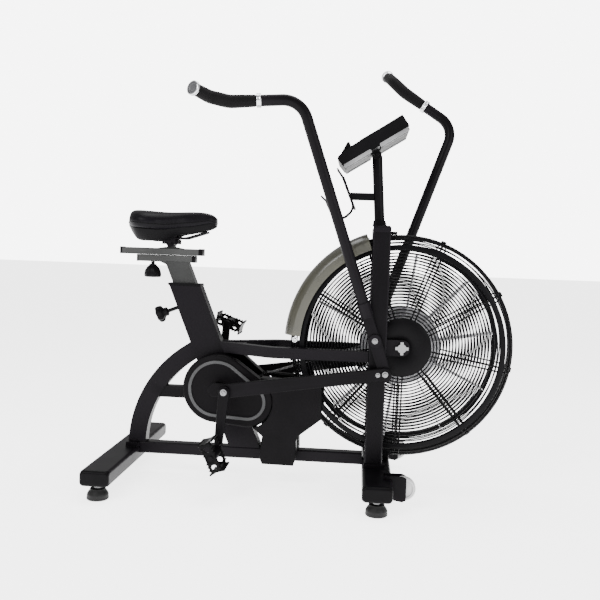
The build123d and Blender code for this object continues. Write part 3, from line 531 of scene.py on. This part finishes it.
pad_sections = []
shell_sections = []
piping = {-1: [], 1: []}
for i in range(STATIONS + 1):
    t = 0.5 - 0.5 * math.cos(math.pi * i / STATIONS)
    x = PAD_LO.x + t * (PAD_HI.x - PAD_LO.x)
    half = along_curve(HALF_WIDTH, t)
    top = PAD_HI.z - along_curve(DROP, t)
    deep = along_curve(PAD_DEEP, t)
    pad_sections.append([Vector((x, y * half, top - z * deep)) for y, z in both_sides(PAD_SHAPE)])
    low = max(along_curve(SHELL_LOW, t), BASE_LO.z)
    shell_top = top - deep * 0.93
    inset = {0: SHELL_END_INSET, STATIONS: -SHELL_END_INSET}.get(i, 0.0)
    shell_sections.append([
        Vector((x + inset, y * half * 0.97, shell_top - z * max(shell_top - low, SHELL_LEAST_DEEP)))
        for y, z in both_sides(SHELL_SHAPE)
    ])
    if 0 < i < STATIONS:
        for side in (-1, 1):
            piping[side].append(Vector((x, side * half * 0.985, top - deep * 0.72)))


def subdivided(obj, levels):
    modifier = obj.modifiers.new("smooth", "SUBSURF")
    modifier.levels = levels
    modifier.render_levels = levels
    return obj


bm = bmesh.new()
skin(bm, pad_sections)
saddle_cover = subdivided(publish("saddle_cover", bm, "vinyl", "saddle", ("saddle_pad",), angle=80), 2)
bm = bmesh.new()
skin(bm, shell_sections)
subdivided(publish("saddle_shell", bm, "cap", "saddle", ("saddle_base",), angle=80), 1)
bm = bmesh.new()
around = piping[-1] + piping[1][::-1]
tube_rings(bm, around, [PIPING_R] * len(around), 8, closed=True)
publish("saddle_piping", bm, "cap", "saddle")

# ---- handlebar grips, chrome rings and end discs ----
GRIP_R = 0.019
GRIP_THINNER = 0.0022  # at both ends
GRIP_RIB = 0.00035
GRIP_END_ROUND = 0.0015
GRIP_STEP = 0.0028
GRIP_BENDS = (0.06, 0.028)
RING_SHARE = 0.56  # how far the ring is from the bend to the elbow
RING_LONG = 0.0125
LEAN = math.radians(19.2)
HANDS = ((-1, "right"), (1, "left"))
# Corners of a handlebar in its lever's leaning frame: forward, outward and up from the pivot.
BAR_CORNERS = ((0.002, 0.203, 0.712), (-0.190, 0.222, 0.764), (-0.236, 0.246, 0.788), (-0.262, 0.298, 0.808))


def on_lever(side, pivot, w, v, u):
    """Point w forward, v outward and u up in the leaning frame of a lever."""
    a = LEAN * side
    return Vector((pivot.x + w * math.cos(a) + u * math.sin(a), side * v,
                   pivot.z - w * math.sin(a) + u * math.cos(a)))


for side, hand in HANDS:
    pivot = joint_place(hand + "_lever_swing")
    bend, elbow, tip, last = [on_lever(side, pivot, *corner) for corner in BAR_CORNERS]
    ring = bend.lerp(elbow, RING_SHARE)
    ahead = (elbow - bend).normalized()
    centres = route([ring + ahead * RING_LONG, elbow, tip, last], GRIP_BENDS, GRIP_STEP)
    radii = []
    for i in range(len(centres)):
        t = i / (len(centres) - 1)
        ends = min(1.0, i / 2, (len(centres) - 1 - i) / 2)
        rib = GRIP_RIB if i % 2 else 0.0
        radii.append(GRIP_R - GRIP_THINNER * (1 - math.sin(math.pi * t)) - rib - GRIP_END_ROUND * (1 - ends))
    bm = bmesh.new()
    tube_rings(bm, centres, radii, 28)
    foam = publish(hand + "_foam_grip", bm, "foam", hand + "_handlebar", (hand + "_grip",), angle=60)

    out = (last - tip).normalized()
    bm = bmesh.new()
    turned(bm, [(0.0155, 0.0), (0.0198, 0.0), (0.0205, 0.001), (0.0205, 0.0028), (0.0196, 0.004),
                (0.0196, 0.008), (0.0205, 0.0092), (0.0205, 0.011), (0.0198, 0.012), (0.0155, 0.012)],
           ring, ahead, 40)
    turned(bm, [(0.0, 0.0), (0.0192, 0.0), (0.0205, 0.0012), (0.0205, 0.0075), (0.0192, 0.009),
                (0.0168, 0.009), (0.0162, 0.0066), (0.0, 0.0066)], last, out, 40)
    publish(hand + "_chrome_rings", bm, "chrome", hand + "_handlebar", (hand + "_grip_rings",), angle=50)
    bm = bmesh.new()
    turned(bm, [(0.0, 0.0064), (0.0160, 0.0064), (0.0160, 0.0074), (0.0148, 0.0082), (0.0112, 0.0082),
                (0.0104, 0.0074), (0.0086, 0.0074), (0.0076, 0.0086), (0.0, 0.0086)], last, out, 36)
    publish(hand + "_end_disc", bm, "disc", hand + "_handlebar", angle=50)

# ---- feet, wheels and hand knobs ----
for hand in ("right", "left"):
    for where in ("rear", "front"):
        node = hand + "_" + where + "_foot"
        spot = middle(node)
        spot.z = 0
        bm = bmesh.new()
        turned(bm, [(0, 0), (0.0285, 0), (0.0308, 0.0022), (0.031, 0.006), (0.0298, 0.0105),
                    (0.0306, 0.0125), (0.0296, 0.017), (0.0262, 0.023), (0.0222, 0.0275),
                    (0.0218, 0.0312), (0.018, 0.0322), (0, 0.0322)], spot, (0, 0, 1), 40)
        publish(node + "_rubber", bm, "rubber", node, (node,), angle=55)
        bm = bmesh.new()
        turned(bm, [(0, 0.030), (0.0115, 0.030), (0.0115, 0.0365), (0.0105, 0.038), (0.006, 0.038),
                    (0.006, 0.060), (0, 0.060)], spot, (0, 0, 1), 6)
        publish(node + "_stud", bm, "steel", node, angle=30)
    node = hand + "_wheel"
    lo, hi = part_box(node)
    r = (hi.x - lo.x) / 2
    h = (hi.y - lo.y) / 2
    bm = bmesh.new()
    turned(bm, [(0.0051, -h), (0.010, -h), (0.0115, -h * 0.75), (r - 0.009, -h * 0.7), (r - 0.008, -h),
                (r - 0.003, -h), (r - 0.0006, -h * 0.8), (r, -h * 0.55), (r, h * 0.55),
                (r - 0.0006, h * 0.8), (r - 0.003, h), (r - 0.008, h), (r - 0.009, h * 0.7),
                (0.0115, h * 0.75), (0.010, h), (0.0051, h), (0.0051, -h)], middle(node), (0, 1, 0), 48)
    publish(node + "_tread", bm, "wheel", node, (node,), angle=40)

lo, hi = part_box("slide_knob")
spot = Vector(((lo.x + hi.x) / 2, 0, lo.z))
bm = bmesh.new()
turned(bm, [(0, 0.0025), (0.016, 0.001), (0.0225, 0), (0.026, 0.002), (0.027, 0.007), (0.0262, 0.015),
            (0.0235, 0.0235), (0.0185, 0.031), (0.013, 0.0355), (0.0115, 0.038), (0.0115, 0.0405),
            (0.006, 0.041), (0.006, hi.z - lo.z), (0, hi.z - lo.z)], spot, (0, 0, 1), 60, 6, 0.0045)
publish("slide_knob_grip", bm, "cap", "slide_knob", ("slide_knob",), angle=50)

pull = Vector(joint("height_knob_pull")["axis"]).normalized()
lo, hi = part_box("height_knob")
KNOB_LONG = 0.077
KNOB_WIDE = 0.027
# The knob leans along its pull axis, so its far face sits one leaning half-disc inside the box.
far = Vector((lo.x + abs(pull.z) * KNOB_WIDE, 0, lo.z + abs(pull.x) * KNOB_WIDE))
spot = far - pull * KNOB_LONG
bm = bmesh.new()
turned(bm, [(0, 0), (0.006, 0), (0.006, 0.040), (0.0125, 0.0415), (0.0145, 0.0445), (0.0135, 0.050),
            (0.0155, 0.054), (0.0225, 0.0575), (0.0262, 0.061), (0.027, 0.066), (0.0266, 0.0725),
            (0.0235, 0.0758), (0.014, 0.077), (0, 0.0758)], spot, pull, 60, 7, 0.0042)
publish("height_knob_grip", bm, "cap", "height_knob", ("height_knob",), angle=50)

# ---- black end caps on the silver bars ----
CAP_PROUD = 0.0003
CAP_ROUND = 0.0016
LOWER_BAR_LONG = 0.183
# Bottom and top of a cap, and half its width.
LOWER_CAP = (0.6675, 0.6885, 0.0175)
UPPER_CAP = (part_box("seat_post")[1].z + 0.0004, 0.711, 0.020)
LOWER_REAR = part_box("seat_post")[0].x
LOWER_FRONT = LOWER_REAR + LOWER_BAR_LONG
UPPER_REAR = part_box("slide_bar")[0].x
UPPER_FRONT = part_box("slide_bar")[1].x


def bar_cap(name, body, x0, x1, size):
    z0, z1, half = size
    side = half + CAP_PROUD
    bm = bmesh.new()
    soft_box(bm, (x0 - CAP_PROUD, -side, z0), (x1 + CAP_PROUD, side, z1 + CAP_PROUD), CAP_ROUND)
    publish(name, bm, "cap", body, angle=40)


bar_cap("lower_bar_rear_cap", "seat_post", LOWER_REAR, LOWER_REAR + 0.0045, LOWER_CAP)
bar_cap("lower_bar_front_cap", "seat_post", LOWER_FRONT - 0.010, LOWER_FRONT, LOWER_CAP)
bar_cap("upper_bar_rear_cap", "seat_slide", UPPER_REAR, UPPER_REAR + 0.0065, UPPER_CAP)
bar_cap("upper_bar_front_cap", "seat_slide", UPPER_FRONT - 0.012, UPPER_FRONT, UPPER_CAP)

# ---- console: dark back shell with paler trim, and a frame round the screen ----
TILT = math.radians(32)
CON_T = Vector((math.cos(TILT), 0, math.sin(TILT)))
CON_N = Vector((-math.sin(TILT), 0, math.cos(TILT)))
CON_O = joint_place("console_tilt") + CON_N * 0.012


def on_console(t, n):
    """X and Z of a point t up the console's face and n out of it."""
    p = CON_O + CON_T * t + CON_N * n
    return (p.x, p.z)


def back_strip(bm, t0, t1, y0, y1, low, high):
    """Strip on the back with blunt ends, from low to high off the back plane."""
    prism(bm, [on_console(t0, low), on_console(t0 - 0.002, (low + high) / 2), on_console(t0, high),
               on_console(t1, high), on_console(t1 + 0.002, (low + high) / 2), on_console(t1, low)],
          y0, y1, 0.0008)


# The back's two halves leave the mast's pivot free.
BACK_HALVES = ((-0.104, -0.016), (0.016, 0.110))
BACK_Y = 0.0865
RIB_Y = (0.064, 0.070)
BEZEL_Y = (0.0755, 0.080)
BEZEL_N = (0.041, 0.0455)
bm = bmesh.new()
for t0, t1 in BACK_HALVES:
    back_strip(bm, t0, t1, -BACK_Y, BACK_Y, -0.004, 0.0005)
publish("console_back", bm, "console", "console", angle=35)
bm = bmesh.new()
for t0, t1 in BACK_HALVES:
    for edge_y in (-1, 1):
        y = sorted((edge_y * BACK_Y, edge_y * 0.0925))
        back_strip(bm, t0, t1, y[0], y[1], -0.005, 0.006)
        y = sorted(edge_y * rib for rib in RIB_Y)
        back_strip(bm, t0 + 0.006, t1 - 0.006, y[0], y[1], -0.0065, -0.003)
publish("console_trim", bm, "back", "console", angle=35)
bm = bmesh.new()
low, high = BEZEL_N
inner, outer = BEZEL_Y
for t0, t1, y0, y1 in ((-0.029, -0.025, -outer, outer), (0.099, 0.103, -outer, outer),
                       (-0.026, 0.100, -outer, -inner), (-0.026, 0.100, inner, outer)):
    prism(bm, [on_console(t0, low), on_console(t0, high), on_console(t1, high), on_console(t1, low)],
          y0, y1, 0.0008)
publish("screen_frame", bm, "disc", "console", angle=35)

# ---- pedal teeth along both treads ----
TREAD_X = 0.0445
TREAD_Z = 0.0205
TOOTH_PITCH = 0.0098
STUD_Z = 0.0145
STUD_Y = 0.0462
TOOTH = [(0, -0.002), (0.0034, -0.002), (0.0030, 0.0008), (0.0012, 0.0032), (0, 0.0034)]
STUD = [(0, -0.002), (0.0036, -0.002), (0.0028, 0.001), (0.0008, 0.0038), (0, 0.0039)]
for hand, tilt in (("right", -65.0), ("left", -20.0)):
    spot = joint_place(hand + "_pedal_spin")
    a = math.radians(tilt)
    u = Vector((math.cos(a), 0, math.sin(a)))
    v = Vector((-math.sin(a), 0, math.cos(a)))
    bm = bmesh.new()
    for end in (-1, 1):
        for face in (-1, 1):
            for k in range(9):
                foot = spot + u * end * TREAD_X + v * face * TREAD_Z + Vector((0, (k - 4) * TOOTH_PITCH, 0))
                turned(bm, TOOTH, foot, v * face + u * end * 0.4, 8)
            for y in (-STUD_Y, STUD_Y):
                for w in (0.012, 0.022, 0.032):
                    foot = spot + u * end * w + v * face * STUD_Z + Vector((0, y, 0))
                    turned(bm, STUD, foot, v * face, 8)
    publish(hand + "_pedal_teeth", bm, "pedal", hand + "_pedal", angle=30)

# ---- bolts ----
EYE_BELOW = 0.1  # from the lever's pivot down to the rod's eye
PIVOT_FACE = 0.146
CRANK_FACE = 0.173
PLATE_FACE = 0.0965
PLATE_BACK = 0.052  # from the fan axle back to the plate's two bolts
PLATE_HALF = 0.013
SHROUD_R = 0.318
SHROUD_FACE = 0.0842
SHROUD_BOLT = math.radians(178)
for side, hand in HANDS:
    outward = (0, side, 0)
    lo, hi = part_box(hand + "_rod")
    eye_y = hi.y if side > 0 else lo.y
    pivot = joint_place(hand + "_lever_swing")
    eye = on_lever(side, pivot, 0, 0, -EYE_BELOW)
    eye.y = eye_y
    rear = joint_place(hand + "_rod_turn")
    back = (Vector((rear.x, 0, rear.z)) - Vector((eye.x, 0, eye.z))).normalized()
    bm = bmesh.new()
    bolt(bm, eye, outward, 0.0062, 0.005)
    bolt(bm, eye + back * 0.021 - Vector((0, side * 0.0051, 0)), outward, 0.0048, 0.005)
    publish(hand + "_rod_bolts", bm, "steel", hand + "_rod", angle=40)
    bm = bmesh.new()
    bolt(bm, Vector((pivot.x, side * PIVOT_FACE, pivot.z)), outward, 0.0062, 0.006)
    publish(hand + "_pivot_bolt", bm, "steel", "frame", angle=40)
    bm = bmesh.new()
    bolt(bm, Vector((rear.x, side * CRANK_FACE, rear.z)), outward, 0.007, 0.006)
    publish(hand + "_crank_bolt", bm, "steel", "crank", angle=40)
    bm = bmesh.new()
    for z in (FAN.z + PLATE_HALF, FAN.z - PLATE_HALF):
        bolt(bm, Vector((FAN.x - PLATE_BACK, side * PLATE_FACE, z)), outward, 0.0048, 0.005)
    publish(hand + "_plate_bolts", bm, "steel", "frame", angle=40)

bm = bmesh.new()
x = FAN.x + SHROUD_R * math.cos(SHROUD_BOLT)
z = FAN.z + SHROUD_R * math.sin(SHROUD_BOLT)
bolt(bm, Vector((x, -SHROUD_FACE, z)), (0, -1, 0), 0.006, 0.004)
publish("shroud_bolt", bm, "chrome", "frame", angle=40)

# ---- studio: a glowing floor, and a backdrop that only the camera sees so bright ----
FLOOR_GLOW = 3.2
BACKDROP = 7.0
ROOM_LIGHT = 0.7
bm = bmesh.new()
bmesh.ops.create_grid(bm, x_segments=1, y_segments=1, size=30)
floor_mesh = bpy.data.meshes.new("floor")
bm.to_mesh(floor_mesh)
bm.free()
floor = bpy.data.objects.new("floor", floor_mesh)
bpy.context.scene.collection.objects.link(floor)
floor_mat, _, floor_bsdf = shader("floor_white", (0.95, 0.95, 0.95), 0.95, spec=0.0)
floor_bsdf.inputs["Emission Color"].default_value = (1, 1, 1, 1)
floor_bsdf.inputs["Emission Strength"].default_value = FLOOR_GLOW
floor_mesh.materials.append(floor_mat)

world = bpy.data.worlds.new("studio")
bpy.context.scene.world = world
world.use_nodes = True
world_tree = world.node_tree
room = world_tree.nodes["Background"]
room.inputs["Color"].default_value = (1, 1, 1, 1)
room.inputs["Strength"].default_value = ROOM_LIGHT
backdrop = world_tree.nodes.new("ShaderNodeBackground")
backdrop.inputs["Color"].default_value = (1, 1, 1, 1)
backdrop.inputs["Strength"].default_value = BACKDROP
rays = world_tree.nodes.new("ShaderNodeLightPath")
choice = world_tree.nodes.new("ShaderNodeMixShader")
world_tree.links.new(rays.outputs["Is Camera Ray"], choice.inputs["Fac"])
world_tree.links.new(room.outputs["Background"], choice.inputs[1])
world_tree.links.new(backdrop.outputs["Background"], choice.inputs[2])
world_tree.links.new(choice.outputs["Shader"], world_tree.nodes["World Output"].inputs["Surface"])


def softbox(name, place, aim, size, power):
    data = bpy.data.lights.new(name, "AREA")
    data.shape = "RECTANGLE"
    data.size, data.size_y = size
    data.energy = power
    lamp = bpy.data.objects.new(name, data)
    lamp.location = place
    lamp.rotation_mode = "QUATERNION"
    lamp.rotation_quaternion = (Vector(aim) - Vector(place)).to_track_quat("-Z", "Y")
    bpy.context.scene.collection.objects.link(lamp)


softbox("key", (-1.6, -2.6, 2.6), (0, 0, 0.5), (1.6, 1.2), 90)
softbox("fill", (2.4, -2.0, 1.6), (0, 0, 0.5), (1.4, 1.4), 45)
softbox("top", (0, 0.3, 3.0), (0, 0, 0.5), (2.2, 1.4), 60)

# ---- camera: on the rider's right, a little forward of the middle ----
CAMERA = Vector((0.1417, -2.3942, 0.7085))
YAW, PITCH_DOWN, ROLL = 0.075, 0.0597, 0.0351
LENS_PER_SENSOR = 1.3
ahead = Vector((-math.sin(YAW), math.cos(YAW), 0))
right = Vector((math.cos(YAW), math.sin(YAW), 0))
look = ahead * math.cos(PITCH_DOWN) - Vector((0, 0, math.sin(PITCH_DOWN)))
up = Vector((0, 0, math.cos(PITCH_DOWN))) + ahead * math.sin(PITCH_DOWN)
cam_right = right * math.cos(ROLL) + up * math.sin(ROLL)
cam_up = up * math.cos(ROLL) - right * math.sin(ROLL)
cam_data = bpy.data.cameras.new("camera")
cam_data.sensor_width = 36
cam_data.lens = 36 * LENS_PER_SENSOR
camera = bpy.data.objects.new("camera", cam_data)
camera.matrix_world = Matrix((
    (cam_right.x, cam_up.x, -look.x, CAMERA.x),
    (cam_right.y, cam_up.y, -look.y, CAMERA.y),
    (cam_right.z, cam_up.z, -look.z, CAMERA.z),
    (0, 0, 0, 1),
))
bpy.context.scene.collection.objects.link(camera)
bpy.context.scene.camera = camera
